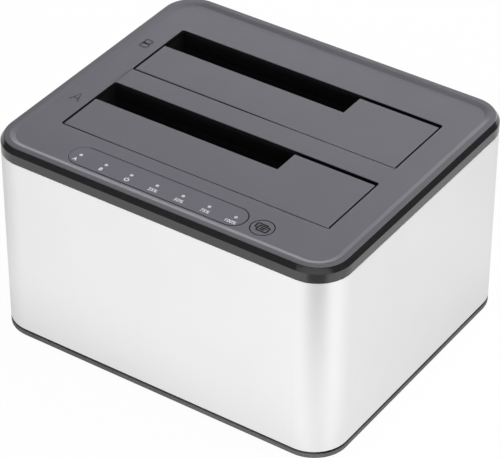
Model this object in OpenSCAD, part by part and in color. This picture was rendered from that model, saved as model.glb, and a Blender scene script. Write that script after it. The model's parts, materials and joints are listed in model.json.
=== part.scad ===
// Dual-bay docking station for 3.5-inch and 2.5-inch drives.
// Millimetres, +Z up, front face toward -Y, origin at the bottom centre of the feet.

/* [Drives] */
// width of the large drive
drive_w = 101.6; // [100:0.1:104]
// thickness of the large drive
drive_t = 26.1; // [20:0.1:27]
// width of the small drive
small_w = 69.85; // [68:0.05:71]
// play of the large drive at each end of its slot
drive_gap = 0.95; // [0.5:0.05:1.2]
// play in front of the large drive behind the open flap
drive_play = 0.9; // [0.4:0.1:1.5]
// play of the small drive in its notch, both ends together
small_gap = 2.8; // [1:0.05:4]
// depth of the open notch for the small drive
notch_d = 11.7; // [9:0.1:13]
// distance from the drive's left edge to the middle of its plug
plug_in = 30.12; // [29:0.02:32]
// distance from the drive's back face to the middle of its plug
plug_back = 3.5; // [3.3:0.1:4.5]

/* [Body] */
// from the slot's end to the side face
side_margin = 14.45; // [14.2:0.05:20]
// from the front slot to the front face
front_margin = 21.85; // [21.5:0.05:26]
// from the rear slot to the back face
back_margin = 21.15; // [20.8:0.05:26]
// bridge between the two slots
web_d = 9.6; // [8:0.1:14]
// radius of the upright corners
corner_r = 12.4; // [11:0.1:16]
// height of the sleeve
shell_h = 67.4; // [60:0.1:90]
// wall of the sleeve
shell_t = 1.5; // [1:0.1:2]
// visible height of the base
base_h = 2.5; // [2.4:0.1:5]
// play between the sleeve and the rims inside it
rim_gap = 0.25; // [0.1:0.05:0.4]
// height of the shadow gap under the sleeve
shadow_h = 0.8; // [0.2:0.05:1]
// depth of the shadow gap under the sleeve
shadow_d = 0.8; // [0.2:0.05:1]
// wall of the rims inside the sleeve
rim_t = 1.6; // [1.2:0.1:2]
// height of the rims inside the sleeve
rim_h = 3; // [2:0.1:3.4]

/* [Cover] */
// upright wall of the cover above the sleeve
cover_h = 3.5; // [2.5:0.1:6]
// height of the polished bevel
bevel_h = 1.9; // [1:0.1:3]
// width of the polished bevel
bevel_w = 1.23; // [0.6:0.01:2]
// flat lip around the panel
lip_w = 2; // [1:0.1:3]
// slope from the lip down to the panel
lip_slope = 1.8; // [0.8:0.1:2.5]
// depth of the panel below the lip
lip_drop = 0.5; // [0.2:0.05:1]
// thickness of the panel
panel_t = 2; // [1.8:0.1:2.5]
// radius of the slots' corners
slot_r = 0.8; // [0.3:0.1:1]
// height of the collars around the slots
collar_h = 6; // [5:0.1:9]
// wall of the collars and the wells
collar_t = 1.6; // [1.2:0.1:1.8]
// cover left above the hinge rod at the slot's front edge
hinge_skin = 1; // [0.8:0.05:1]

/* [Flaps] */
// thickness of the flap
flap_t = 1.8; // [1.5:0.1:2]
// gap at the flap's front edge
gap_front = 0.4; // [0.2:0.05:0.5]
// gap at the flap's left end
gap_left = 0.85; // [0.4:0.05:1]
// gap at the flap's right end
gap_right = 0.5; // [0.4:0.05:0.8]
// gap behind the flap's tab
gap_back = 1.7; // [1:0.1:2]
// diameter of the hinge rod
rod_d = 1.5; // [1.2:0.05:1.6]
// radial play of the flap on its rod
rod_play = 0.05; // [0.02:0.01:0.09]
// radial play of the rod in its seat
seat_play = 0.02; // [0.01:0.01:0.05]
// wall of the flap's hinge barrel
barrel_t = 0.5; // [0.4:0.05:0.5]
// wire of the flap's spring
wire_d = 0.4; // [0.3:0.02:0.4]
// place of the spring along the slot
spring_x = -22; // [-40:1:0]

/* [Controls] */
// distance between the indicator lamps
lamp_pitch = 10; // [8:0.1:10.4]
// width of the indicator inlay
inlay_w = 9.8; // [8:0.1:10]
// from the last lamp to the inlay's end
inlay_end = 3.7; // [3:0.1:4]
// thickness of the indicator inlay
inlay_t = 0.8; // [0.5:0.05:1]
// middle of the inlay from the front face
inlay_in = 10.9; // [10.6:0.1:11.4]
// middle of the inlay to the left of the body's middle
inlay_left = 5.4; // [2:0.1:8]
// diameter of a lamp's light tip
tip_d = 1.2; // [1:0.1:2]
// diameter of the copy button
button_d = 7.7; // [6:0.1:8.6]
// gap around the copy button and the inlay
button_gap = 0.2; // [0.15:0.05:0.4]
// travel of the copy button
button_travel = 0.6; // [0.3:0.05:0.7]
// middle of the button from the last lamp
button_step = 9.8; // [9.6:0.1:11]

/* [Boards and sockets] */
// thickness of the main board
board_t = 1.6; // [1:0.1:2]
// height of the posts under the main board
board_lift = 4; // [3.8:0.1:6]
// height of the drive sockets
socket_h = 8.7; // [8:0.1:10]
// width of the drive sockets
socket_w = 6.4; // [5.8:0.1:6.6]
// length of the drive sockets
socket_l = 46; // [44:0.1:48]
// thickness of the well's floor
floor_t = 2; // [1.5:0.1:2.5]
// room between the main board and the wells
floor_lift = 1.7; // [1.5:0.1:2]
// thickness of the indicator board
lamp_board_t = 1.2; // [0.8:0.1:1.6]
// width of the flat cable
cable_w = 9; // [6:0.5:12]
// side of the bridge chip
chip_s = 10; // [7:0.5:12]
// length of the crystal's can
crystal_l = 5; // [3:0.1:6]
// width of the crystal's can
crystal_w = 3.2; // [2:0.1:4]
// side of an inductor
inductor_s = 6; // [4:0.1:7]
// diameter of a capacitor
capacitor_d = 6.3; // [4:0.1:7]
// height of a capacitor
capacitor_h = 7.7; // [5:0.1:9]

/* [Back] */
// middle of the supply jack from the body's middle
jack_x = 36; // [32:0.5:38]
// middle of the power switch from the body's middle
switch_x = -34; // [-36:0.5:-33]
// swing of the power switch to each side
switch_tilt = 12; // [8:0.5:14]
// width of the host socket's can
host_w = 12; // [11.6:0.1:13]
// height of the host socket's can
host_h = 11.4; // [11.2:0.1:12]
// length of the host socket's can
host_l = 16.8; // [15:0.1:18]
// sheet of the host socket's can
host_t = 0.4; // [0.3:0.05:0.5]

/* [Feet and screws] */
// height of the feet below the base
foot_h = 1.6; // [1:0.1:4]
// diameter of the feet
foot_d = 10; // [8:0.1:10.5]
// diameter of the base screws
base_screw_d = 2.9; // [2.5:0.1:3]
// height of the bosses in the cover that the base screws hold
tie_boss_h = 10; // [8:0.1:14]
// diameter of the small screws
small_screw_d = 2.4; // [2:0.1:2.5]
// length of the vents in the base
vent_l = 26; // [10:0.5:30]
// width of the vents in the base
vent_w = 2.2; // [1.5:0.1:3]
// distance between the vents in the base
vent_pitch = 6; // [5:0.1:7]

/* [Hidden] */
$fn = 48;
eps = 0.01;
slot_l = drive_w + 2 * drive_gap;
barrel_r = rod_d / 2 + rod_play + barrel_t;
pivot_drop = hinge_skin + 0.3 + barrel_r;
pivot_fwd = 0.1;
slot_d = drive_t + pivot_drop - pivot_fwd + drive_play;
slot_pitch = slot_d + web_d;
body_w = slot_l + 2 * side_margin;
body_d = front_margin + slot_pitch + slot_d + back_margin;
slot_y = front_margin - body_d / 2;
notch_l = small_w + small_gap;

z_shell = foot_h + base_h;
z_seam = z_shell + shell_h;
z_crease = z_seam + cover_h;
z_lip = z_crease + bevel_h;
z_panel = z_lip - lip_drop;
z_under = z_panel - panel_t;
z_collar = z_under - collar_h;
z_pivot = z_panel - pivot_drop;
y_pivot = slot_y - pivot_fwd;
z_board = z_shell + board_lift;
z_board_top = z_board + board_t;
z_well = z_board_top + floor_lift;
z_floor = z_well + floor_t;
z_tie = z_under - tie_boss_h;

rim_in = shell_t + rim_gap;
cave_in = rim_in + rim_t;
post_x = body_w / 2 - 9.2;
post_y = body_d / 2 - 9.3;
ear_x = slot_l / 2 + 6;
ear_y = slot_y + slot_d / 2;
well_x = slot_l / 2 + 0.9;
well_y0 = slot_y - barrel_r - pivot_fwd - 0.35;
well_y1 = slot_y + slot_d + 1.3;

inlay_y = inlay_in - body_d / 2;
inlay_l = 6 * lamp_pitch + 2 * inlay_end;
button_x = 3 * lamp_pitch - inlay_left + button_step;
z_lamp_board = z_under - 4.4;
z_plunger = z_lamp_board + 1.2;
lamp_screw_l = -inlay_left - 3 * lamp_pitch - 10;
lamp_screw_r = button_x + button_d / 2 + 5;
plug_x = plug_in - drive_w / 2;
plug_y = slot_y + slot_d - 0.3 - plug_back;
board_x = post_x - 4.5;
board_y0 = 9.8 - body_d / 2;
board_y1 = body_d / 2 - 2.8;
hole_x = board_x - 4.5;
hole_y0 = 13.8 - body_d / 2;
hole_y1 = body_d / 2 - 8.3;
cable_x = -20;
cable_y0 = inlay_y - 1.4;
cable_y1 = board_y0 + 3.5;
back_y = body_d / 2;

// Shared shapes

module rounded(w, d, r) {
  square([w - 2 * r, d], center = true);
  square([w, d - 2 * r], center = true);
  for (sx = [-1, 1], sy = [-1, 1])
    translate([sx * (w / 2 - r), sy * (d / 2 - r)])
      circle(r = r, $fn = 64);
}

module rounded_block(inset, z0, z1) {
  translate([0, 0, z0])
    linear_extrude(z1 - z0)
      rounded(body_w - 2 * inset, body_d - 2 * inset, corner_r - inset);
}

// block whose faces lean inward by lean over its height, or outward if it is negative
module leaning_block(inset, lean, z0, z1) {
  w = body_w / 2 - inset;
  d = body_d / 2 - inset;
  r = corner_r - inset;
  h = z1 - z0;
  translate([0, 0, z0]) {
    rotate([90, 0, 90])
      linear_extrude(2 * (w - r), center = true)
        polygon([[-d, 0], [d, 0], [d - lean, h], [-d + lean, h]]);
    rotate([90, 0, 0])
      linear_extrude(2 * (d - r), center = true)
        polygon([[-w, 0], [w, 0], [w - lean, h], [-w + lean, h]]);
    for (sx = [-1, 1], sy = [-1, 1])
      translate([sx * (w - r), sy * (d - r), 0])
        cylinder(r1 = r, r2 = r - lean, h = h, $fn = 64);
  }
}

module stadium(l, w) {
  square([l - w, w], center = true);
  for (s = [-1, 1])
    translate([s * (l - w) / 2, 0])
      circle(d = w, $fn = 48);
}

module box(x0, x1, y0, y1, z0, z1) {
  translate([x0, y0, z0])
    cube([x1 - x0, y1 - y0, z1 - z0]);
}

module at_b() {
  translate([0, slot_pitch, 0])
    children();
}

module at_posts() {
  for (sx = [-1, 1], sy = [-1, 1])
    translate([sx * post_x, sy * post_y, 0])
      children();
}

module at_ears() {
  for (sx = [-1, 1], k = [0, 1])
    translate([sx * ear_x, ear_y + k * slot_pitch, 0])
      children();
}

module at_lamps() {
  for (i = [-3 : 3])
    translate([i * lamp_pitch - inlay_left, inlay_y, 0])
      children();
}

module at_lamp_screws() {
  for (x = [lamp_screw_l, lamp_screw_r])
    translate([x, inlay_y, 0])
      children();
}

module at_board_holes() {
  for (sx = [-1, 1], y = [hole_y0, hole_y1])
    translate([sx * hole_x, y, 0])
      children();
}

module screw(d, l, head_d, head_h) {
  cylinder(d = d, h = l);
  translate([0, 0, -head_h])
    difference() {
      cylinder(d = head_d, h = head_h);
      translate([-head_d * 0.3, -0.35, -eps])
        cube([head_d * 0.6, 0.7, head_h * 0.5]);
      translate([-0.35, -head_d * 0.3, -eps])
        cube([0.7, head_d * 0.6, head_h * 0.5]);
    }
}

// Housing

module slot_cut() {
  translate([0, slot_y + slot_d / 2, z_under - 1])
    linear_extrude(z_lip - z_under + 2)
      rounded(slot_l, slot_d, slot_r);
  box(-well_x, well_x, well_y0, slot_y + 1, z_under - 1, z_panel - hinge_skin);
}

module collar() {
  difference() {
    box(-well_x - collar_t, well_x + collar_t, well_y0 - collar_t, well_y1 + collar_t,
      z_collar, z_under + eps);
    box(-well_x, well_x, well_y0, well_y1, z_collar - 1, z_under + 1);
  }
}

// seat of the hinge rod in the collar's end walls and under the panel
module rod_seat() {
  translate([0, y_pivot, z_pivot])
    rotate([0, 90, 0])
      cylinder(d = rod_d + 2 * seat_play, h = 2 * (well_x + collar_t + 1), center = true, $fn = 32);
}

module top_cover() {
  color([0.32, 0.32, 0.34])
    difference() {
      union() {
        difference() {
          union() {
            rounded_block(0, z_seam, z_crease);
            leaning_block(0, bevel_w, z_crease, z_lip);
            rounded_block(rim_in, z_seam - rim_h, z_seam + 1);
          }
          rounded_block(cave_in, z_seam - rim_h - 1, z_under);
          leaning_block(bevel_w + lip_w + lip_slope, -1.5 * lip_slope, z_panel, z_panel + 1.5 * lip_drop);
          slot_cut();
          at_b()
            slot_cut();
        }
        collar();
        at_b()
          collar();
        at_posts()
          translate([0, 0, z_tie])
            cylinder(d = 8, h = tie_boss_h + eps);
        at_ears()
          translate([0, 0, z_collar])
            cylinder(d = 6, h = collar_h + eps);
        at_lamp_screws()
          translate([0, 0, z_lamp_board])
            cylinder(d = 5, h = z_under - z_lamp_board + eps);
      }
      translate([-inlay_left, inlay_y, z_panel - inlay_t])
        linear_extrude(inlay_t + 1)
          stadium(inlay_l + 2 * button_gap, inlay_w + 2 * button_gap);
      at_lamps()
        translate([0, 0, z_under - 1])
          cylinder(d = tip_d + 0.3, h = panel_t + 2, $fn = 24);
      translate([button_x, inlay_y, z_under - 1])
        cylinder(d = button_d + 2 * button_gap, h = panel_t + 2);
      at_posts()
        translate([0, 0, z_tie - 1])
          cylinder(d = base_screw_d + 0.1, h = tie_boss_h - 0.2);
      at_ears()
        translate([0, 0, z_collar - 1])
          cylinder(d = small_screw_d + 0.1, h = 6);
      at_lamp_screws()
        translate([0, 0, z_lamp_board - 1])
          cylinder(d = small_screw_d + 0.1, h = 4.6);
      rod_seat();
      at_b()
        rod_seat();
    }
}

module shell() {
  color([0.86, 0.86, 0.87])
    difference() {
      rounded_block(0, z_shell, z_seam);
      rounded_block(shell_t, z_shell - 1, z_seam + 1);
      box(-host_w / 2 - 0.4, host_w / 2 + 0.4, back_y - 4, back_y + 1,
        z_board_top - 0.3, z_board_top + host_h + 0.4);
      translate([jack_x, back_y + 1, z_board_top + 6.5])
        rotate([90, 0, 0])
          cylinder(d = 9.4, h = 5);
      box(switch_x - 5.8, switch_x + 5.8, back_y - 4, back_y + 1, z_board_top + 1.5, z_board_top + 9);
    }
}

module base() {
  color([0.3, 0.3, 0.32])
    difference() {
      union() {
        rounded_block(0, foot_h, z_shell - shadow_h);
        rounded_block(shadow_d, z_shell - shadow_h - eps, z_shell);
        difference() {
          rounded_block(rim_in, z_shell - eps, z_shell + rim_h);
          rounded_block(cave_in, z_shell - 1, z_shell + rim_h + 1);
        }
        at_posts()
          translate([0, 0, z_shell - eps])
            cylinder(d = 8, h = board_lift + eps);
        at_board_holes()
          translate([0, 0, z_shell - eps])
            cylinder(d = 6, h = board_lift + eps);
      }
      at_posts() {
        translate([0, 0, foot_h - 1])
          cylinder(d = foot_d + 0.2, h = 1.6);
        translate([0, 0, foot_h])
          cylinder(d = 6.2, h = 3.4);
        translate([0, 0, foot_h])
          cylinder(d = base_screw_d + 0.4, h = z_seam);
      }
      at_board_holes()
        translate([0, 0, z_shell - 0.5])
          cylinder(d = small_screw_d + 0.1, h = board_lift + 2);
      for (sx = [-1, 1], k = [-3 : 3])
        translate([sx * body_w / 5, k * vent_pitch, foot_h - 1])
          linear_extrude(base_h + 2)
            stadium(vent_l, vent_w);
    }
}

module rubber_feet() {
  color([0.12, 0.12, 0.12])
    at_posts()
      cylinder(d = foot_d, h = foot_h + 0.6);
}

// Drive wells

module well() {
  difference() {
    union() {
      box(-well_x - collar_t, well_x + collar_t, well_y0 - collar_t, well_y1 + collar_t, z_well, z_collar);
      for (s = [-1, 1])
        translate([s * (well_x + ear_x + 3.5) / 2, ear_y, z_collar - 1.5])
          cube([ear_x + 3.5 - well_x, 8, 3], center = true);
    }
    box(-well_x, well_x, well_y0, well_y1, z_floor, z_collar + 1);
    box(plug_x - socket_l / 2 - 0.6, plug_x + socket_l / 2 + 0.6, plug_y - socket_w / 2 - 0.6,
      plug_y + socket_w / 2 + 0.6, z_well - 1, z_floor + 1);
    for (s = [-1, 1])
      translate([s * ear_x, ear_y, z_collar - 5])
        cylinder(d = small_screw_d + 0.4, h = 6);
  }
  for (s = [-1, 1], y = [slot_y + 7, slot_y + slot_d - 4])
    end_rib(s, y);
  for (x = [-0.84, -0.3, 0.24, 0.84])
    back_rib(x * slot_l / 2);
}

// upright guide on the well's end wall, with a sloping lead-in at its top
module end_rib(s, y) {
  x_wall = s * (well_x + eps);
  x_face = s * slot_l / 2;
  translate([0, y + 0.8, 0])
    rotate([90, 0, 0])
      linear_extrude(1.6)
        polygon([[x_wall, z_floor - eps], [x_face, z_floor - eps],
          [x_face, z_collar - 6], [x_wall, z_collar - 1.5]]);
}

module back_rib(x) {
  y_wall = well_y1 + eps;
  y_face = slot_y + slot_d;
  translate([x - 0.8, 0, 0])
    rotate([90, 0, 90])
      linear_extrude(1.6)
        polygon([[y_wall, z_floor - eps], [y_face, z_floor - eps],
          [y_face, z_collar - 10], [y_wall, z_collar - 5.5]]);
}

module drive_well_a() {
  color([0.13, 0.13, 0.14])
    well();
}

module drive_well_b() {
  color([0.13, 0.13, 0.14])
    at_b()
      well();
}

// Flaps

spring_w = 6.4;
coil_l = spring_w - 1.4;
leg_flap = 7;
flap_x0 = gap_left - slot_l / 2;
flap_x1 = slot_l / 2 - gap_right;
flap_step_x = notch_l - slot_l / 2;
flap_y0 = slot_y + gap_front;
flap_y1 = slot_y + slot_d - notch_d;
flap_y2 = slot_y + slot_d - gap_back;

module flap() {
  z_low = z_panel - flap_t;
  difference() {
    union() {
      translate([0, 0, z_low])
        linear_extrude(flap_t)
          polygon([[flap_x0, flap_y0], [flap_x1, flap_y0], [flap_x1, flap_y2], [flap_step_x, flap_y2],
            [flap_step_x, flap_y1], [flap_x0, flap_y1]]);
      translate([flap_x0, y_pivot, z_pivot])
        rotate([0, 90, 0])
          cylinder(r = barrel_r, h = flap_x1 - flap_x0);
      box(flap_x0, flap_x1, flap_y0, slot_y + 2.4, z_low - 0.8, z_low + eps);
      // stiffening ribs under the plate
      for (x = [-0.86, -0.1, 0.28, 0.86])
        box(x * slot_l / 2 - 0.6, x * slot_l / 2 + 0.6, slot_y + 2, flap_y1 - 2.5, z_low - 1, z_low + eps);
      // tongue that stops the flap under the back edge of the slot
      box(flap_step_x + 6, flap_x1 - 5, flap_y2 - 4, flap_y2, z_under - 1.5, z_low + eps);
      box(flap_step_x + 6, flap_x1 - 5, flap_y2 - 4, slot_y + slot_d + 0.9, z_under - 1.5, z_under - 0.3);
    }
    translate([0, y_pivot, z_pivot])
      rotate([0, 90, 0])
        cylinder(d = rod_d + 2 * rod_play, h = body_w, center = true, $fn = 32);
    // pocket for the spring
    box(spring_x - spring_w / 2, spring_x + spring_w / 2, slot_y - 2, slot_y + 2.6,
      z_pivot - 3, z_panel - 1);
    box(spring_x + coil_l / 2 - 0.6, spring_x + coil_l / 2 + 0.6, slot_y, slot_y + leg_flap + 0.6,
      z_low - 3, z_panel - 1);
  }
}

module flap_a() {
  color([0.36, 0.36, 0.39])
    flap();
}

module flap_b() {
  color([0.36, 0.36, 0.39])
    at_b()
      flap();
}

module rod() {
  translate([0, y_pivot, z_pivot])
    rotate([0, 90, 0])
      cylinder(d = rod_d, h = 2 * (well_x + collar_t - 0.1), center = true, $fn = 32);
}

module flap_rod_a() {
  color([0.7, 0.7, 0.72])
    rod();
}

module flap_rod_b() {
  color([0.7, 0.7, 0.72])
    at_b()
      rod();
}

// Torsion spring: a wire wound around the rod. Its lower leg comes up in front of the rod, the
// turns run over the top and back, and its upper leg leaves the top of the rod under the flap.
spring_turns = 4;
spring_r = barrel_r - wire_d / 2;
coil_sweep = 360 * spring_turns + 90;
coil_steps = 8 * spring_turns + 2;
leg_down = 4;

function coil_angle(i) = 180 - coil_sweep * i / coil_steps;
function coil_out(i) = [0, cos(coil_angle(i)), sin(coil_angle(i))];
function coil_point(i) =
  [spring_x - coil_l / 2 + coil_l * i / coil_steps, y_pivot, z_pivot] + spring_r * coil_out(i);
function coil_way(i) =
  let (run = spring_r * coil_sweep * PI / 180)
  let (v = [coil_l, run * sin(coil_angle(i)), -run * cos(coil_angle(i))])
  v / norm(v);

spring_path = concat(
  [coil_point(0) - [0, 0, leg_down]],
  [for (i = [0 : coil_steps]) coil_point(i)],
  [coil_point(coil_steps) + [0, leg_flap, 0]]);
spring_way = concat(
  [[0, 0, 1]],
  [for (i = [0 : coil_steps]) coil_way(i)],
  [[0, 1, 0]]);
spring_out = concat(
  [coil_out(0)],
  [for (i = [0 : coil_steps]) coil_out(i)],
  [coil_out(coil_steps)]);
spring_last = len(spring_path) - 1;
spring_self_gap = min([for (i = [1 : spring_last - 6], j = [i + 5 : spring_last - 1])
  norm(spring_path[i] - spring_path[j])]) - wire_d;
echo(spring_self_gap = spring_self_gap);

module torsion_spring() {
  rings = [for (i = [0 : spring_last], k = [0 : 5])
    spring_path[i] + wire_d / 2 * (cos(60 * k) * spring_out[i]
      + sin(60 * k) * cross(spring_way[i], spring_out[i]))];
  sides = [for (i = [0 : spring_last - 1], k = [0 : 5], h = [0, 1])
    let (a = 6 * i + k, b = 6 * i + (k + 1) % 6)
    h == 0 ? [a, a + 6, b + 6] : [a, b + 6, b]];
  ends = [[0, 1, 2, 3, 4, 5], [for (k = [5 : -1 : 0]) 6 * spring_last + k]];
  polyhedron(rings, concat(sides, ends));
}

module flap_spring_a() {
  color([0.75, 0.75, 0.76])
    torsion_spring();
}

module flap_spring_b() {
  color([0.75, 0.75, 0.76])
    at_b()
      torsion_spring();
}

// Controls

module indicator_inlay() {
  color([0.34, 0.34, 0.38])
    difference() {
      translate([-inlay_left, inlay_y, z_panel - inlay_t])
        linear_extrude(inlay_t)
          stadium(inlay_l, inlay_w);
      at_lamps()
        translate([0, 0, z_under])
          cylinder(d = tip_d + 0.1, h = panel_t + 1, $fn = 24);
    }
}

module light_guide() {
  color([0.93, 0.93, 0.93]) {
    box(-inlay_left - 3 * lamp_pitch - 2.5, 3 * lamp_pitch - inlay_left + 2.5, inlay_y - 1.6, inlay_y + 1.6,
      z_under - 1.5, z_under);
    at_lamps() {
      translate([0, 0, z_under - 1])
        cylinder(d = tip_d, h = panel_t + 1, $fn = 24);
      translate([0, 0, z_lamp_board + 1])
        cylinder(d = 2.4, h = 2.5, $fn = 24);
    }
  }
}

module lamps() {
  color([0.95, 0.95, 0.8])
    at_lamps()
      translate([-0.8, -0.5, z_lamp_board])
        cube([1.6, 1, 0.6]);
}

module indicator_board() {
  color([0.05, 0.25, 0.14])
    difference() {
      box(lamp_screw_l - 4, lamp_screw_r + 4, inlay_y - 6, inlay_y + 6,
        z_lamp_board - lamp_board_t, z_lamp_board);
      at_lamp_screws()
        translate([0, 0, z_lamp_board - 5])
          cylinder(d = small_screw_d + 0.4, h = 10);
    }
}

module indicator_screws() {
  color([0.7, 0.7, 0.72])
    at_lamp_screws()
      translate([0, 0, z_lamp_board - lamp_board_t])
        screw(small_screw_d, lamp_board_t + 3.2, 4.2, 1.4);
}

module push_switch() {
  color([0.1, 0.1, 0.1])
    difference() {
      translate([button_x - 2.6, inlay_y - 2.6, z_lamp_board])
        cube([5.2, 5.2, 2]);
      translate([button_x, inlay_y, z_plunger - button_travel - 0.2])
        cylinder(d = 2.7, h = 3, $fn = 24);
    }
}

module push_plunger() {
  color([0.75, 0.72, 0.65])
    translate([button_x, inlay_y, z_plunger])
      cylinder(d = 2.5, h = 1.5, $fn = 24);
}

module copy_button() {
  color([0.36, 0.36, 0.39])
    translate([button_x, inlay_y, 0]) {
      translate([0, 0, z_plunger + 1.5])
        cylinder(d = 2.5, h = 1, $fn = 24);
      translate([0, 0, z_under - 1.1])
        cylinder(d = button_d + 2.4, h = 0.8);
      translate([0, 0, z_under - 0.5])
        cylinder(d = button_d, h = panel_t + 0.5);
    }
}

// Flat cable between the boards

module cable_socket_top() {
  color([0.9, 0.88, 0.82])
    box(cable_x - cable_w / 2 - 1, cable_x + cable_w / 2 + 1, cable_y0 - 2, cable_y0 + 2,
      z_lamp_board - lamp_board_t - 3, z_lamp_board - lamp_board_t);
}

module cable_socket_low() {
  color([0.9, 0.88, 0.82])
    box(cable_x - cable_w / 2 - 1, cable_x + cable_w / 2 + 1, cable_y1 - 2, cable_y1 + 2,
      z_board_top, cable_z0);
}

cable_z0 = z_board_top + 5;
cable_z1 = z_lamp_board - lamp_board_t - 3;

// the cable hangs in an even S, a half wave from one socket to the other
function cable_y(t) = cable_y1 + (cable_y0 - cable_y1) * (1 - cos(180 * t)) / 2;

module flat_cable() {
  color([0.85, 0.85, 0.86])
    translate([cable_x - cable_w / 2, 0, 0])
      rotate([90, 0, 90])
        linear_extrude(cable_w)
          polygon(concat(
            [for (i = [0 : 20]) [cable_y(i / 20) - 0.2, cable_z0 + (cable_z1 - cable_z0) * i / 20]],
            [for (i = [20 : -1 : 0]) [cable_y(i / 20) + 0.2, cable_z0 + (cable_z1 - cable_z0) * i / 20]]));
}

// Main board

module main_board() {
  color([0.05, 0.25, 0.14])
    difference() {
      box(-board_x, board_x, board_y0, board_y1, z_board, z_board_top);
      at_board_holes()
        translate([0, 0, z_board - 1])
          cylinder(d = small_screw_d + 0.4, h = board_t + 2);
    }
}

contact_pitch = 1.27;
contact_z0 = z_board_top + 2.2;
z_socket = z_board_top + socket_h;

// seven signal contacts and fifteen supply contacts, with the key between them
function contact_x(i) = plug_x - 12.5 * contact_pitch + contact_pitch * (i < 7 ? i : i + 4);

module drive_socket() {
  difference() {
    box(plug_x - socket_l / 2, plug_x + socket_l / 2, plug_y - socket_w / 2, plug_y + socket_w / 2,
      z_board_top, z_socket);
    box(contact_x(0) - 1.4, contact_x(6) + 1.4, plug_y - 1.3, plug_y + 1.3, contact_z0, z_socket + 1);
    box(contact_x(7) - 1.4, contact_x(21) + 1.4, plug_y - 1.3, plug_y + 1.3, contact_z0, z_socket + 1);
    box(contact_x(6) + 1.2, contact_x(6) + 2.4, plug_y - 2.2, plug_y + 1.3, contact_z0, z_socket + 1);
    box(contact_x(21) + 1.2, contact_x(21) + 2.4, plug_y - 2.2, plug_y + 1.3, contact_z0, z_socket + 1);
  }
}

module drive_contacts() {
  for (i = [0 : 21])
    box(contact_x(i) - 0.3, contact_x(i) + 0.3, plug_y + 0.7, plug_y + 1.3, contact_z0, z_socket - 0.8);
}

module drive_socket_a() {
  color([0.08, 0.08, 0.09])
    drive_socket();
}

module drive_socket_b() {
  color([0.08, 0.08, 0.09])
    at_b()
      drive_socket();
}

module drive_contacts_a() {
  color([0.85, 0.7, 0.3])
    drive_contacts();
}

module drive_contacts_b() {
  color([0.85, 0.7, 0.3])
    at_b()
      drive_contacts();
}

module bridge_chip() {
  color([0.09, 0.09, 0.1])
    box(21 - chip_s / 2, 21 + chip_s / 2, -chip_s / 2, chip_s / 2, z_board_top, z_board_top + 1);
}

module crystal() {
  color([0.75, 0.75, 0.77])
    box(30, 30 + crystal_l, -crystal_w / 2, crystal_w / 2, z_board_top, z_board_top + 1);
}

module inductors() {
  color([0.2, 0.2, 0.22])
    for (k = [0, 1])
      translate([13.5 + k * (inductor_s + 2), hole_y1 - 0.4 - inductor_s, z_board_top])
        cube([inductor_s, inductor_s, inductor_s / 2]);
}

module capacitors() {
  color([0.55, 0.55, 0.58])
    for (k = [0, 1])
      translate([-14 - k * (capacitor_d + 1.7), hole_y1 - 4.4, z_board_top])
        cylinder(d = capacitor_d, h = capacitor_h, $fn = 32);
}

// Back sockets

host_y0 = back_y - 0.2 - host_l;
host_in = host_w / 2 - host_t;
z_host = z_board_top + host_h - host_t;

module host_can() {
  color([0.8, 0.8, 0.82])
    difference() {
      box(-host_w / 2, host_w / 2, host_y0, back_y - 0.2, z_board_top, z_board_top + host_h);
      box(-host_in, host_in, host_y0 + host_t, back_y + 1, z_board_top + host_t, z_host);
    }
}

module host_core() {
  color([0.1, 0.25, 0.6])
    union() {
      difference() {
        box(-host_in, host_in, host_y0 + host_t, back_y - 0.6, z_board_top + host_t, z_host);
        box(-4.2, 4.2, back_y - 10.6, back_y + 1, z_board_top + 1, z_board_top + 8);
        box(-2.9, 2.9, back_y - 10.6, back_y + 1, z_board_top + 7, z_board_top + 10.4);
      }
      box(-2.8, 2.8, back_y - 11, back_y - 1.6, z_board_top + 3.2, z_board_top + 5.8);
    }
}

module host_contacts() {
  color([0.85, 0.7, 0.3]) {
    for (x = [-1.25, 1.25], z = [3, 5.8])
      box(x - 0.5, x + 0.5, back_y - 10.6, back_y - 2.2, z_board_top + z, z_board_top + z + 0.2);
    for (i = [-2 : 2])
      box(i - 0.25, i + 0.25, back_y - 10.6, back_y - 2.2, z_board_top + 10.2, z_board_top + 10.4);
  }
}

module supply_jack() {
  color([0.1, 0.1, 0.1])
    difference() {
      union() {
        box(jack_x - 4.5, jack_x + 4.5, back_y - 15, back_y - 1.9, z_board_top, z_board_top + 11);
        translate([jack_x, back_y - 0.4, z_board_top + 6.5])
          rotate([90, 0, 0])
            cylinder(d = 8.6, h = 2);
      }
      translate([jack_x, back_y + 1, z_board_top + 6.5])
        rotate([90, 0, 0])
          cylinder(d = 6.4, h = 11.4);
      translate([jack_x, back_y, z_board_top + 6.5])
        rotate([90, 0, 0])
          cylinder(d = 2.1, h = 13);
      box(jack_x - 1.25, jack_x + 1.25, back_y - 10.4, back_y - 3, z_board_top + 2.6, z_board_top + 4);
    }
}

module supply_pin() {
  color([0.85, 0.85, 0.87])
    translate([jack_x, back_y - 1.4, z_board_top + 6.5])
      rotate([90, 0, 0])
        cylinder(d = 2, h = 11.6, $fn = 32);
}

module supply_spring() {
  color([0.85, 0.7, 0.3])
    box(jack_x - 1.1, jack_x + 1.1, back_y - 10.2, back_y - 3.2, z_board_top + 2.6, z_board_top + 3.2);
}

pivot_back = 4.9;
z_switch = z_board_top + 5.25;

module switch_body() {
  color([0.1, 0.1, 0.1])
    difference() {
      box(switch_x - 7, switch_x + 7, back_y - 13, back_y - 1.9, z_board_top, z_board_top + 10.5);
      box(switch_x - 5.6, switch_x + 5.6, back_y - 9.6, back_y, z_board_top + 1.65, z_board_top + 8.85);
      translate([switch_x, back_y - pivot_back, z_switch])
        cylinder(d = 2.1, h = 9.6, center = true, $fn = 32);
    }
}

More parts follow.
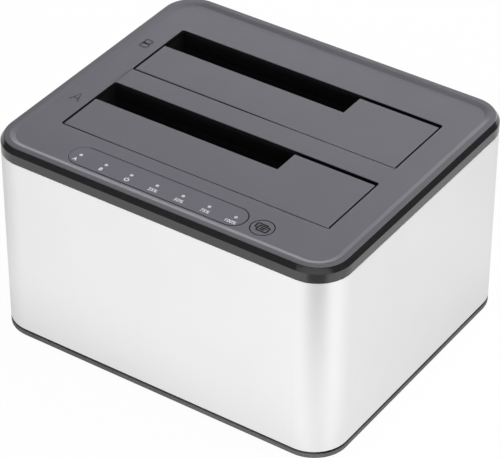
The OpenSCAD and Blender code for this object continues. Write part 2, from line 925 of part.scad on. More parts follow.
module switch_rocker() {
  rise = 4.6 * tan(switch_tilt);
  color([0.12, 0.12, 0.12])
    translate([switch_x, back_y - pivot_back, z_switch])
      rotate([0, 0, switch_tilt]) {
        linear_extrude(6.6, center = true)
          polygon([[-4.6, 0.4], [-4.6, 2.6 + rise], [0, 2.6], [4.6, 2.6 + rise], [4.6, 0.4], [1.6, -1.2],
            [0.9, -3.4], [-0.9, -3.4], [-1.6, -1.2]]);
        cylinder(d = 2, h = 9.2, center = true, $fn = 32);
      }
}

// Screws

module base_screws() {
  color([0.7, 0.7, 0.72])
    at_posts()
      translate([0, 0, foot_h + 3.4])
        screw(base_screw_d, z_under - foot_h - 5.4, 5.6, 2.2);
}

module board_screws() {
  color([0.7, 0.7, 0.72])
    at_board_holes()
      translate([0, 0, z_board_top])
        rotate([180, 0, 0])
          screw(small_screw_d, board_t + 3.4, 4.6, 1.5);
}

module well_screws() {
  color([0.7, 0.7, 0.72])
    at_ears()
      translate([0, 0, z_collar - 3])
        screw(small_screw_d, 7.2, 4.6, 1.5);
}

top_cover();
shell();
base();
drive_well_a();
drive_well_b();
flap_a();
flap_b();
flap_rod_a();
flap_rod_b();
flap_spring_a();
flap_spring_b();
indicator_inlay();
light_guide();
lamps();
indicator_board();
indicator_screws();
push_switch();
push_plunger();
copy_button();
cable_socket_top();
flat_cable();
cable_socket_low();
main_board();
drive_socket_a();
drive_socket_b();
drive_contacts_a();
drive_contacts_b();
bridge_chip();
crystal();
inductors();
capacitors();
host_can();
host_core();
host_contacts();
supply_jack();
supply_pin();
supply_spring();
switch_body();
switch_rocker();
base_screws();
board_screws();
well_screws();
rubber_feet();
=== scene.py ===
import json
import math

import bpy
import numpy as np
from mathutils import Matrix

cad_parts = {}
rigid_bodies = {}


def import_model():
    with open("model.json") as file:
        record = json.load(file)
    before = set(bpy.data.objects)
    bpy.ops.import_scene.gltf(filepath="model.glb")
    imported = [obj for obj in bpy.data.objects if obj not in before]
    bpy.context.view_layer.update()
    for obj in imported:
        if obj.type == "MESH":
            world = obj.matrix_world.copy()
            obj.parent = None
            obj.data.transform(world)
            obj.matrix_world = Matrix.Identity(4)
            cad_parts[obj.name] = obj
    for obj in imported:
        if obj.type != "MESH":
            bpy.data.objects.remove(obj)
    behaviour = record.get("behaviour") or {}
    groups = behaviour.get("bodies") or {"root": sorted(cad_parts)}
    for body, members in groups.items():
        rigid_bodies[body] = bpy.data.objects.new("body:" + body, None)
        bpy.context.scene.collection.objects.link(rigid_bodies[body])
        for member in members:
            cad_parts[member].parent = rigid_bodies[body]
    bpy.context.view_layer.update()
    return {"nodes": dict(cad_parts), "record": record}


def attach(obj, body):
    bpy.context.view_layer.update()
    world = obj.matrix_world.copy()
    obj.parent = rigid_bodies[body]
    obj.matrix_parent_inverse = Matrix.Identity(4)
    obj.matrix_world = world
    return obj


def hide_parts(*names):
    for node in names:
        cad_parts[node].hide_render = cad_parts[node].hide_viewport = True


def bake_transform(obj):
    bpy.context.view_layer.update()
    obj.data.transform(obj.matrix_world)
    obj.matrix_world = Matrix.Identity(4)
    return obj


for old in list(bpy.data.objects):
    bpy.data.objects.remove(old)

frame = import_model()
nodes = frame["nodes"]


# Sizes and places in metres

def box_of(name):
    """Low and high corner of a node."""
    corners = np.round(np.array(nodes[name].bound_box), 7)
    return corners.min(0), corners.max(0)


def middle(name):
    """Centre of a node's box."""
    return np.mean(box_of(name), axis=0)


BODY_LOW, BODY_HIGH = box_of("top_cover")
BODY_W, BODY_D, _ = BODY_HIGH - BODY_LOW
Z_SHELL = box_of("shell")[0][2]
INLAY_LOW, INLAY_HIGH = box_of("indicator_inlay")
INLAY_L, INLAY_W, _ = INLAY_HIGH - INLAY_LOW
INLAY_X, INLAY_Y, _ = middle("indicator_inlay")
Z_PANEL = INLAY_HIGH[2]
BUTTON = middle("push_switch")[:2]
_, HINGE_Y, HINGE_Z = middle("flap_rod_a")
SLOT_PITCH = middle("flap_rod_b")[1] - HINGE_Y
ROCKER_Z = middle("switch_rocker")[2]

# These are as in the part's source. A flap's front edge lies behind its rod's axis by FLAP_EDGE.
CORNER, BEVEL_W, LIP_W, SHADOW_H = 0.0124, 0.00123, 0.002, 0.0008
LAMP_PITCH, FLAP_EDGE = 0.010, 0.0005
LAMP_X = INLAY_X + (np.arange(7) - 3) * LAMP_PITCH

# The inlay's outline fades at its left end, between these two places.
FADE_X = (INLAY_LOW[0] + 0.0006, INLAY_LOW[0] + 0.0051)

# Level directions, about as the camera has them: to its right, and away from it.
SIDEWAYS = (0.8268, 0.5625)
AWAY = (-0.5625, 0.8268)

# The body's near corner on the floor: to the camera's right, and toward it.
NEAR_CORNER = (0.0224, 0.0784)

# The place that the lamps face.
AIM = (0, 0, 0.05)

# The camera, with its angles in degrees and its lens in millimetres.
CAMERA_AT = (0.407649, -0.604298, 0.571453)
HEADING, TILT, ROLL, LENS = 34.033529, 36.385025, 0.160767, 195.0017


# Shader maths

class Val:
    """A value socket of a material; arithmetic on it adds Math nodes."""

    def __init__(self, paint, socket):
        self.paint = paint
        self.socket = socket

    def math(self, operation, *others):
        """The Math node of that operation, on this value and the others."""
        return self.paint.node("ShaderNodeMath", {"operation": operation}, dict(enumerate((self,) + others)))

    def __add__(self, other):
        return self.math("ADD", other)

    __radd__ = __add__

    def __sub__(self, other):
        return self.math("SUBTRACT", other)

    def __rsub__(self, other):
        return self.paint.node("ShaderNodeMath", {"operation": "SUBTRACT"}, {0: other, 1: self})

    def __mul__(self, other):
        return self.math("MULTIPLY", other)

    __rmul__ = __mul__

    def __abs__(self):
        return self.math("ABSOLUTE")

    def sqrt(self):
        return self.math("SQRT")

    def least(self, other):
        return self.math("MINIMUM", other)

    def most(self, other):
        return self.math("MAXIMUM", other)

    def ramp(self, low, high, to_low=0.0, to_high=1.0):
        """Smooth step, from to_low at low to to_high at high."""
        return self.paint.node("ShaderNodeMapRange", {"interpolation_type": "SMOOTHSTEP", "clamp": True},
                               {0: self, 1: low, 2: high, 3: to_low, 4: to_high})

    def fall(self, low, high):
        """Smooth step down, from 1 at low to 0 at high."""
        return self.ramp(low, high, 1.0, 0.0)


class Paint:
    """One procedural material: a Principled shader and the nodes that feed it."""

    def __init__(self, name):
        self.material = bpy.data.materials.new(name)
        self.material.use_nodes = True
        self.tree = self.material.node_tree
        self.tree.nodes.clear()
        self.out = self.tree.nodes.new("ShaderNodeOutputMaterial")
        self.shader = self.tree.nodes.new("ShaderNodeBsdfPrincipled")
        self.tree.links.new(self.shader.outputs[0], self.out.inputs[0])
        self._place = None

    def node(self, kind, settings=None, sockets=None, output=0):
        """A node of that kind: its settings are made first, then its sockets are linked or set.
        Gives one of its outputs as a Val."""
        made = self.tree.nodes.new(kind)
        for key, value in (settings or {}).items():
            setattr(made, key, value)
        for key, value in (sockets or {}).items():
            self.feed(made.inputs[key], value)
        return Val(self, made.outputs[output])

    def feed(self, socket, value):
        """Links a Val to the socket, or sets a constant on it."""
        if isinstance(value, Val):
            self.tree.links.new(value.socket, socket)
        else:
            socket.default_value = value

    def set(self, **sockets):
        """Principled sockets by name, with underscores for spaces."""
        for key, value in sockets.items():
            self.feed(self.shader.inputs[key.replace("_", " ")], value)

    @property
    def place(self):
        """Object coordinates, in metres."""
        if self._place is None:
            self._place = self.node("ShaderNodeTexCoord", output=3)
        return self._place

    @property
    def xyz(self):
        """The three object coordinates as Vals."""
        split = self.tree.nodes.new("ShaderNodeSeparateXYZ")
        self.tree.links.new(self.place.socket, split.inputs[0])
        return [Val(self, s) for s in split.outputs]

    def noise(self, scale, detail, rough, stretch=None):
        """Noise about zero to one; scale is features per metre."""
        vector = self.place
        if stretch is not None:
            vector = self.node("ShaderNodeMapping", {}, {0: self.place, 3: stretch})
        return self.node("ShaderNodeTexNoise", {},
                         {"Vector": vector, "Scale": scale, "Detail": detail, "Roughness": rough})

    def mix(self, factor, a, b):
        """Colour a where factor is 0, colour b where it is 1."""
        return self.node("ShaderNodeMix", {"data_type": "RGBA"}, {0: factor, 6: a, 7: b}, output=2)

    def bump(self, height, strength, distance):
        """The normal of a surface with that height."""
        return self.node("ShaderNodeBump", {}, {"Strength": strength, "Distance": distance, "Height": height})


def srgb(r, g, b):
    """Linear colour of 0 to 255 screen values."""
    v = np.array([r, g, b]) / 255.0
    return tuple(np.where(v <= 0.04045, v / 12.92, ((v + 0.055) / 1.055) ** 2.4)) + (1.0,)


def shade(colour, k):
    """The colour with its light multiplied by k."""
    return tuple(c * k for c in colour[:3]) + (1.0,)


# Finishes

def inside_outline(paint):
    """Signed distance in metres from the body's rounded outline, negative inside."""
    x, y, _ = paint.xyz
    qx = abs(x) - (BODY_W / 2 - CORNER)
    qy = abs(y) - (BODY_D / 2 - CORNER)
    ox, oy = qx.most(0.0), qy.most(0.0)
    return (ox * ox + oy * oy).sqrt() + qx.most(qy).least(0.0) - CORNER


def from_inlay_line(paint):
    """Distance in metres from the inlay's middle line, half its width on its outline."""
    x, y, _ = paint.xyz
    along = (abs(x - INLAY_X) - (INLAY_L - INLAY_W) / 2).most(0.0)
    across = y - INLAY_Y
    return (along * along + across * across).sqrt()


GREY = srgb(95, 94, 104)
FILM = srgb(95, 94, 106)
DARK = srgb(24, 24, 26)
BLACK = srgb(12, 12, 13)
SLOT = srgb(50, 50, 53)
BAND = srgb(98, 98, 100)


def grain(paint, colour):
    """Spark-eroded plastic: fine pits, a faint cloud of tone, and a roughness that follows both."""
    pits = paint.noise(5200.0, 2.0, 0.6)
    cloud = paint.noise(70.0, 3.0, 0.55)
    tone = paint.mix(cloud.ramp(0.3, 0.7), shade(colour, 0.96), shade(colour, 1.04))
    tone = paint.mix(pits.ramp(0.35, 0.65, 0.0, 0.35), tone, shade(colour, 1.10))
    rough = 0.44 + 0.10 * pits + 0.03 * cloud
    return tone, rough, paint.bump(pits, 0.25, 0.00002)


def painted_top(paint, tone, rough, reach):
    """Grey paint on faces at the panel's height and above, and bare black below that is painted darker deeper
    down, painted shade.
    The paint runs down the edges as far as reach says. Gives tone, roughness and where the paint is."""
    _, _, z = paint.xyz
    top = (z + reach).ramp(Z_PANEL - 0.00007, Z_PANEL - 0.00002)
    bare = paint.noise(900.0, 2.0, 0.5)
    # painted shade: the bare black inside the slots is darker deeper down
    inside = paint.mix(z.ramp(Z_PANEL - 0.009, Z_PANEL - 0.001), shade(SLOT, 0.7), SLOT)
    return (paint.mix(top, paint.mix(bare * 0.3, inside, BLACK), tone),
            rough * top + (0.5 + 0.1 * bare) * (1.0 - top), top)


def cover_finish():
    """Matte grain on the panel and lip, the lip painted darker as painted shade, polished outside the lip,
    and bare black inside the slots.
    """
    p = Paint("cover_plastic")
    tone, rough, normal = grain(p, GREY)
    edge = inside_outline(p)
    # painted shade: the lip's flat is given a darker grey than the panel
    lip = edge.ramp(-BEVEL_W - LIP_W - 0.0001, -BEVEL_W - LIP_W + 0.0001)
    under = p.xyz[2].ramp(Z_PANEL - 0.0026, Z_PANEL - 0.0018, 0.45, 0.9)
    # paint fills the outline of the inlay at its left end
    left_end = from_inlay_line(p).fall(0.0056, 0.0060) * p.xyz[0].fall(*FADE_X)
    tone, rough, top = painted_top(p, p.mix(lip, tone, shade(GREY, 0.78)), rough, left_end * 0.0003)
    polished = edge.ramp(-BEVEL_W - 0.00006, -BEVEL_W + 0.00006)
    wipe = p.noise(260.0, 3.0, 0.6)
    p.set(Base_Color=p.mix(polished, tone, DARK),
          Roughness=rough * (1.0 - polished) + (0.10 + 0.06 * wipe) * polished,
          Metallic=(1.0 - top) * (1.0 - polished) * under,
          Coat_Weight=polished * 0.35, Coat_Roughness=0.06, Normal=normal, IOR=1.7)
    return p.material


def flap_finish():
    """Matte grain as on the panel. Toward the right, paint runs down the front edge and is painted lighter
    in the gap, painted light that thins the front gaps. Flap B has painted shade: a dark rim along the left
    of its front edge."""
    p = Paint("flap_plastic")
    tone, rough, normal = grain(p, GREY)
    x, y, z = p.xyz
    flap_b = y.ramp(-0.002, 0.002)
    inset = y - (HINGE_Y + FLAP_EDGE) - flap_b * SLOT_PITCH
    front = abs(inset).fall(0.0002, 0.0005)
    closing = x.ramp(-0.045, -0.012) * (1.0 - flap_b) + x.ramp(-0.03, 0.045) * flap_b
    # painted shade: on flap B, a dark rim along the left of the front edge, as of a wider gap
    rim_width = x.ramp(-0.05, 0.02, 0.00042, 0.0)
    rim = (inset - rim_width).fall(-0.00004, 0.00004) * x.fall(-0.01, 0.02) * flap_b
    # painted light: toward the right, the paint on the front edge's wall in the gap is made lighter
    below = z.fall(Z_PANEL - 0.00012, Z_PANEL - 0.00003)
    tone = p.mix(front * closing * below, tone, shade(GREY, 3.6))
    tone, rough, top = painted_top(p, p.mix(rim, tone, BLACK), rough, front * closing * 0.0008)
    p.set(Base_Color=tone, Roughness=rough, Metallic=(1.0 - top) * 0.9, Normal=normal, IOR=1.7)
    return p.material


def inlay_finish():
    """The inlay's film: painted like the flaps, with painted shade as a dark rim along its outline that fades
    at the left end.
    """
    p = Paint("inlay_film")
    tone, rough, normal = grain(p, FILM)
    right = p.xyz[0].ramp(*FADE_X)
    # painted shade: a dark rim on the film along its outline deepens the gap's line
    outline_shade = from_inlay_line(p).ramp(INLAY_W / 2 - 0.00018, INLAY_W / 2 - 0.00008) * right
    tone = p.mix(outline_shade * 0.7, tone, shade(FILM, 0.25))
    tone, rough, top = painted_top(p, tone, rough, (1.0 - right) * 0.0003)
    p.set(Base_Color=tone, Roughness=rough, Metallic=(1.0 - top) * 0.9, Normal=normal, IOR=1.7)
    return p.material


def sleeve_finish():
    """Blasted and anodised aluminium: fine sparkle in the roughness, a soft cloud and thin draw lines."""
    p = Paint("sleeve")
    spark = p.noise(6000.0, 2.0, 0.6)
    cloud = p.noise(45.0, 3.0, 0.5)
    lines = p.noise(900.0, 2.0, 0.5, stretch=(1.0, 1.0, 0.02))
    p.set(Base_Color=p.mix(cloud.ramp(0.3, 0.7), (0.965, 0.965, 0.968, 1), (0.98, 0.98, 0.98, 1)),
          Roughness=0.42 + 0.08 * spark + 0.01 * cloud + 0.01 * lines,
          Metallic=1.0, Normal=p.bump(spark, 0.12, 0.00001))
    return p.material


def base_finish():
    """Satin plastic with a faint cloud, painted light that makes it paler toward the right of the front, and
    painted shade in the shadow gap on the other sides.
    """
    p = Paint("base_plastic")
    pits = p.noise(3800.0, 2.0, 0.6)
    cloud = p.noise(90.0, 3.0, 0.5)
    x, y, z = p.xyz
    front = y.ramp(0.006 - BODY_D / 2, 0.001 - BODY_D / 2)
    gap_z = Z_SHELL - SHADOW_H
    # painted shade: the shadow gap under the sleeve is painted dark, faint on the front
    groove_shade = z.ramp(gap_z - 0.00004, gap_z + 0.00002) * (1.0 - 0.95 * front)
    # a faint random cloud, and painted light: paler toward the right of the front
    cloud_and_painted_light = cloud.ramp(0.3, 0.7, 0.0, 0.6) + x.ramp(-0.05, 0.05, 0.0, 0.8) * front
    tone = p.mix(cloud_and_painted_light, shade(BAND, 0.9), shade(BAND, 1.3))
    p.set(Base_Color=p.mix(groove_shade, tone, srgb(20, 20, 21)), Roughness=0.48 + 0.12 * pits,
          Metallic=groove_shade * 0.6, Normal=p.bump(pits, 0.15, 0.00001), IOR=1.35)
    return p.material


def moulded(name, colour, rough):
    """Plain moulded plastic with fine grain and a faint flow cloud."""
    p = Paint(name)
    pits = p.noise(3000.0, 2.0, 0.6)
    cloud = p.noise(120.0, 2.0, 0.5)
    p.set(Base_Color=p.mix(cloud.ramp(0.3, 0.7), shade(colour, 0.88), shade(colour, 1.12)),
          Roughness=rough - 0.06 + 0.12 * pits, Normal=p.bump(pits, 0.2, 0.00001))
    return p.material


def well_finish():
    """Black moulded plastic, painted paler toward the mouth as painted light, broken up by a streaky noise.
    """
    p = Paint("well_plastic")
    pits = p.noise(3000.0, 2.0, 0.6)
    streaky_noise = p.noise(420.0, 3.0, 0.6, stretch=(1.0, 1.0, 0.15))
    _, _, z = p.xyz
    # painted light: the well is painted paler toward its mouth, broken up by a streaky noise
    mouth = z.ramp(0.058, 0.070) * (0.85 + 0.3 * streaky_noise)
    p.set(Base_Color=p.mix(mouth, srgb(26, 26, 27), srgb(50, 50, 52)), Roughness=0.54 + 0.12 * pits,
          Normal=p.bump(pits, 0.2, 0.00001), Specular_IOR_Level=0.15)
    return p.material


def plated(name, colour, rough):
    """Metal with fine rolling marks and a roughness that wanders."""
    p = Paint(name)
    marks = p.noise(2600.0, 3.0, 0.6)
    cloud = p.noise(300.0, 2.0, 0.5)
    p.set(Base_Color=p.mix(cloud.ramp(0.3, 0.7), shade(colour, 0.92), colour), Metallic=1.0,
          Roughness=rough - 0.05 + 0.12 * marks + 0.06 * cloud, Normal=p.bump(marks, 0.08, 0.00001))
    return p.material


def board_finish():
    """Green solder mask with copper runs showing through as a fine square lattice."""
    p = Paint("board")
    runs = p.node("ShaderNodeTexBrick", {"offset": 0.5},
                  {"Vector": p.place, "Scale": 380.0, "Mortar Size": 0.03}, output=1)
    cloud = p.noise(200.0, 2.0, 0.5)
    p.set(Base_Color=p.mix(runs * 0.5 + cloud * 0.2, (0.012, 0.085, 0.035, 1), (0.03, 0.17, 0.07, 1)),
          Roughness=0.32 + 0.1 * cloud, Normal=p.bump(runs, 0.2, 0.00002))
    return p.material


def tip_finish():
    """Milky plastic of the light tips: white, with a little light passing through."""
    p = Paint("light_plastic")
    cloud = p.noise(800.0, 2.0, 0.5)
    p.set(Base_Color=p.mix(cloud, (0.86, 0.87, 0.9, 1), (0.95, 0.95, 0.96, 1)), Roughness=0.25 + 0.1 * cloud,
          Subsurface_Weight=0.2)
    return p.material


def print_finish(name, colour):
    """Screen-printed ink: nearly even, with the mesh's faint unevenness."""
    p = Paint(name)
    mesh = p.noise(4200.0, 2.0, 0.5)
    p.set(Base_Color=p.mix(mesh.ramp(0.3, 0.7), shade(colour, 0.93), colour), Roughness=0.5 + 0.15 * mesh,
          Specular_IOR_Level=0.25)
    return p.material


FINISH = {
    "cover_plastic": cover_finish(),
    "sleeve": sleeve_finish(),
    "base_plastic": base_finish(),
    "well_plastic": well_finish(),
    "flap_plastic": flap_finish(),
    "steel": plated("steel", (0.62, 0.62, 0.63, 1), 0.28),
    "inlay_film": inlay_finish(),
    "light_plastic": tip_finish(),
    "lamp": moulded("lamp", (0.75, 0.72, 0.45, 1), 0.3),
    "board": board_finish(),
    "black_plastic": moulded("black_plastic", srgb(22, 22, 23), 0.45),
    "chip": moulded("chip", srgb(30, 30, 32), 0.6),
    "ivory_plastic": moulded("ivory_plastic", srgb(225, 220, 205), 0.45),
    "cable": moulded("cable", srgb(222, 222, 226), 0.25),
    "contact": plated("contact", (0.9, 0.68, 0.3, 1), 0.22),
    "tin": plated("tin", (0.78, 0.78, 0.79, 1), 0.22),
    "blue_plastic": moulded("blue_plastic", srgb(20, 84, 176), 0.4),
    "foot_rubber": moulded("foot_rubber", srgb(24, 24, 24), 0.75),
}
SLOT_OF = {s["node"]: s["material_slot"] for s in frame["record"]["subparts"]}
for name, obj in nodes.items():
    for material_slot in obj.material_slots:
        material_slot.material = FINISH[SLOT_OF[name]]

WHITE_INK = print_finish("white_ink", srgb(252, 252, 252))
ICON_INK = print_finish("icon_ink", srgb(4, 4, 5))
# the bay letters are flat strokes on the panel, in a grey a little darker than the panel
DARK_LETTER_INK = print_finish("dark_letter_ink", srgb(78, 78, 84))


# Soft edges

CREASE = 32


def soften(width, angle, *names):
    """Breaks edges sharper than that angle by a narrow rounded bevel; the shading follows the large faces.
    Where blunter edges are left, those past the crease angle are kept sharp."""
    for name in names:
        join = nodes[name].modifiers.new("joined", "WELD")
        join.merge_threshold = 1e-6
        edge = nodes[name].modifiers.new("soft_edges", "BEVEL")
        edge.width, edge.segments, edge.limit_method = width, 3, "ANGLE"
        edge.angle_limit = math.radians(angle)
        edge.use_clamp_overlap = False
        if angle > CREASE:
            crease = nodes[name].modifiers.new("creases", "EDGE_SPLIT")
            crease.split_angle = math.radians(CREASE)
        shading = nodes[name].modifiers.new("shading", "WEIGHTED_NORMAL")
        shading.weight = 100
        shading.keep_sharp = True


soften(0.00022, 36, "top_cover")
soften(0.00015, 25, "flap_a", "flap_b", "shell", "base", "copy_button")


# Marks

# A stroke's sides reach SUNK below the face that it is on. Letters, icon and signs stand LAYER above theirs.
SUNK, LAYER, INK_H = 0.00004, 0.00002, 0.00001


def add_mesh(name, points, faces, material):
    """An object at the origin; its points are lists of metres, its faces lists of point numbers."""
    mesh = bpy.data.meshes.new(name)
    mesh.from_pydata(points, [], faces)
    mesh.update()
    mesh.materials.append(material)
    obj = bpy.data.objects.new(name, mesh)
    bpy.context.scene.collection.objects.link(obj)
    return obj


def stroke(path, width, z0, z1, closed):
    """A flat stroke: the path is carried half a width to each side along its normals.
    Its top is at z1, and its sides go down to z0."""
    path = np.asarray(path, float)
    if closed:
        ahead, behind = np.roll(path, -1, 0), np.roll(path, 1, 0)
    else:
        ahead, behind = np.vstack([path[1:], path[-1:]]), np.vstack([path[:1], path[:-1]])
    way = ahead - behind
    way /= np.linalg.norm(way, axis=1)[:, None]
    side = np.stack([-way[:, 1], way[:, 0]], 1) * width / 2
    n = len(path)
    rim = np.concatenate([path + side, path - side])
    low = np.column_stack([rim, np.full(2 * n, z0)])
    top = np.column_stack([rim, np.full(2 * n, z1)])
    points = np.concatenate([low, top])
    i = np.arange(n if closed else n - 1)
    j = (i + 1) % n
    left, right, left_top, right_top = 0, n, 2 * n, 3 * n
    quads = [np.stack([right_top + i, right_top + j, left_top + j, left_top + i], 1),
             np.stack([left + i, left_top + i, left_top + j, left + j], 1),
             np.stack([right + i, right + j, right_top + j, right_top + i], 1)]
    if not closed:
        quads.append(np.array([[0, right, right_top, left_top],
                               [n - 1, left_top + n - 1, right_top + n - 1, right + n - 1]]))
    return points, np.concatenate(quads)


def strokes_piece(name, paths, width, z, height, material, body):
    """Several strokes as one piece; each path is (points, closed) in metres on the plane z."""
    points, faces, base = [], [], 0
    for path, closed in paths:
        p, f = stroke(path, width, z - SUNK, z + height, closed)
        points.append(p)
        faces.append(f + base)
        base += len(p)
    points, faces = np.concatenate(points), np.concatenate(faces)
    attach(add_mesh(name, points.tolist(), faces.tolist(), material), body)


def arc(cx, cy, r, a0, a1, n=24):
    """Points on a circle from angle a0 to a1, in degrees."""
    a = np.radians(np.linspace(a0, a1, n))
    return np.column_stack([cx + r * np.cos(a), cy + r * np.sin(a)])


def words_piece(name, text, x, height, squeeze, bold):
    """Printed figures: built-in letter shapes made a flat mesh, scaled to that height and centred at x."""
    curve = bpy.data.curves.new(name, "FONT")
    curve.body = text
    curve.align_x, curve.align_y = "CENTER", "CENTER"
    curve.resolution_u = 3
    curve.offset = bold
    holder = bpy.data.objects.new(name + "_curve", curve)
    bpy.context.scene.collection.objects.link(holder)
    bpy.context.view_layer.update()
    mesh = bpy.data.meshes.new_from_object(holder.evaluated_get(bpy.context.evaluated_depsgraph_get()))
    bpy.data.objects.remove(holder)
    co = np.zeros(len(mesh.vertices) * 3)
    mesh.vertices.foreach_get("co", co)
    co = co.reshape(-1, 3)
    low, high = co.min(0), co.max(0)
    k = height / (high[1] - low[1])
    co = (co - (low + high) / 2) * k * np.array([squeeze, 1, 1]) + np.array([x, MARK_Y, MARK_Z])
    mesh.vertices.foreach_set("co", co.ravel())
    mesh.update()
    obj = bpy.data.objects.new(name, mesh)
    bpy.context.scene.collection.objects.link(obj)
    mesh.materials.clear()
    mesh.materials.append(WHITE_INK)
    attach(obj, "dock")


MARK_Y, MARK_Z = INLAY_Y - 0.00274, Z_PANEL + LAYER

# lamp's number, figure, and how far the figure lies to the right of its lamp
BAY_MARKS = ((0, "A", -0.00038), (1, "B", -0.0001))
SHARE_MARKS = ((3, "25%", 0.00017), (4, "50%", 0.0002), (5, "75%", 0.00017), (6, "100%", -0.00016))
for k, figure, shift in BAY_MARKS:
    words_piece("mark_" + figure.lower(), figure, LAMP_X[k] + shift, height=0.0016, squeeze=1.0, bold=0.024)
for k, figure, shift in SHARE_MARKS:
    words_piece("mark_" + figure[:-1], figure, LAMP_X[k] + shift, height=0.00155, squeeze=0.95, bold=0.014)

# The power sign is a ring that is open at the top, with a line through the opening.
POWER_R, POWER_STROKE = 0.00075, 0.00034
power = [(arc(LAMP_X[2], MARK_Y, POWER_R, 125, 415), False),
         (np.array([[LAMP_X[2], MARK_Y + 0.0002], [LAMP_X[2], MARK_Y + 0.0011]]), False)]
strokes_piece("mark_power", power, POWER_STROKE, MARK_Z, INK_H, WHITE_INK, "dock")


def letter_a(x, y, h):
    """Two legs and a bar; h is the letter's height."""
    w = 0.72 * h
    return [(np.array([[x - w / 2, y - h / 2], [x, y + h / 2], [x + w / 2, y - h / 2]]), False),
            (np.array([[x - 0.27 * w, y - 0.14 * h], [x + 0.27 * w, y - 0.14 * h]]), False)]


def letter_b(x, y, h):
    """A stem and two bows, each a half circle with straight ends."""
    w = 0.6 * h
    left = x - w / 2
    head, waist, foot = [[left, y + h / 2]], [[left, y]], [[left, y - h / 2]]
    upper = np.concatenate([head, arc(x + 0.1 * w, y + h / 4, h / 4, 90, -90, 14), waist])
    lower = np.concatenate([waist, arc(x + 0.16 * w, y - h / 4, h / 4, 90, -90, 14), foot])
    return [(np.array(foot + head), False), (upper, False), (lower, False)]


LETTER_H, LETTER_STROKE = 0.0046, 0.0007
BAY_A_AT, BAY_B_AT = (-0.0567, -0.0188), (-0.0570, 0.0206)
bay_a = letter_a(*BAY_A_AT, LETTER_H)
bay_b = letter_b(*BAY_B_AT, LETTER_H)
strokes_piece("letter_a", bay_a, LETTER_STROKE, Z_PANEL, LAYER, DARK_LETTER_INK, "dock")
strokes_piece("letter_b", bay_b, LETTER_STROKE, Z_PANEL, LAYER, DARK_LETTER_INK, "dock")


def rounded_page(x0, y0, x1, y1, r):
    """Outline of a page: a quarter circle of radius r at each corner, joined by straight sides."""
    turns = ((x1 - r, y1 - r, 0), (x0 + r, y1 - r, 90), (x0 + r, y0 + r, 180), (x1 - r, y0 + r, 270))
    return np.concatenate([arc(x, y, r, a, a + 90, TURN_POINTS) for x, y, a in turns])


# Two pages, the far one shown only where the near one leaves it free, and two lines of writing.
PAGE_R, TURN_POINTS, ICON_STROKE = 0.0004, 6, 0.0006
near_page = rounded_page(-0.0013, -0.0017, 0.0024, 0.0009, PAGE_R) + BUTTON
far_page = np.concatenate([[[-0.0017, -0.0005]],
                           arc(-0.0020, -0.0001, PAGE_R, 270, 180, TURN_POINTS),
                           arc(-0.0020, 0.0013, PAGE_R, 180, 90, TURN_POINTS),
                           arc(0.0008, 0.0013, PAGE_R, 90, 0, TURN_POINTS),
                           [[0.0012, 0.0011]]]) + BUTTON
writing = [np.array([[-0.0006, y], [x, y]]) + BUTTON for x, y in ((0.0017, 0.0000), (0.0012, -0.0008))]
icon = [(near_page, True), (far_page, False)] + [(line, False) for line in writing]
strokes_piece("copy_icon", icon, ICON_STROKE, Z_PANEL, LAYER, ICON_INK, "copy_button")


# On and off signs on the rocker

SIGN_STROKE, SIGN_R, SIGN_H = 0.00032, 0.00095, 0.002


def rocker_sign(name, path, closed, x, y, lean):
    """A sign on one half of the rocker: its stroke stands on that half's face, which leans by that angle."""
    points, faces = stroke(path, SIGN_STROKE, -LAYER, LAYER, closed)
    c, s = math.cos(math.radians(lean)), math.sin(math.radians(lean))
    stand = np.array([[-c, -s, 0.0], [0.0, 0.0, 1.0], [-s, c, 0.0]])
    points = points @ stand + (x, y, ROCKER_Z)
    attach(add_mesh(name, points.tolist(), faces.tolist(), WHITE_INK), "rocker")


rocker_sign("sign_off", arc(0, 0, SIGN_R, 0, 345), True, x=-0.03689, y=0.053443, lean=0)
rocker_sign("sign_on", [[0, -SIGN_H / 2], [0, SIGN_H / 2]], False, x=-0.03239, y=0.0544, lean=24)


# Springs

COIL_L, COIL_R, COIL_TURNS, WIRE_R = 0.005, 0.0011, 4.25, 0.0002
COIL_X = middle("flap_spring_a")[0] - COIL_L / 2


def wire(path, radius, sides=12):
    """A round wire: a circle carried along the path, its first radius kept square to the way it goes."""
    way = np.gradient(path, axis=0)
    way /= np.linalg.norm(way, axis=1)[:, None]
    out = np.zeros_like(path)
    out[0] = np.cross(way[0], [1.0, 0.2, 0.1])
    for i in range(1, len(path)):
        out[i] = out[i - 1] - way[i] * (out[i - 1] @ way[i])
    out /= np.linalg.norm(out, axis=1)[:, None]
    over = np.cross(way, out)
    t = np.linspace(0, 2 * np.pi, sides, endpoint=False)
    ring = np.cos(t)[None, :, None] * out[:, None] + np.sin(t)[None, :, None] * over[:, None]
    points = (path[:, None] + radius * ring).reshape(-1, 3)
    k = np.arange(len(path) * sides).reshape(len(path), sides)
    n = np.roll(k, -1, 1)
    faces = np.stack([k[:-1], n[:-1], n[1:], k[1:]], -1).reshape(-1, 4)
    return points.tolist(), faces.tolist() + [k[0, ::-1].tolist(), k[-1].tolist()]


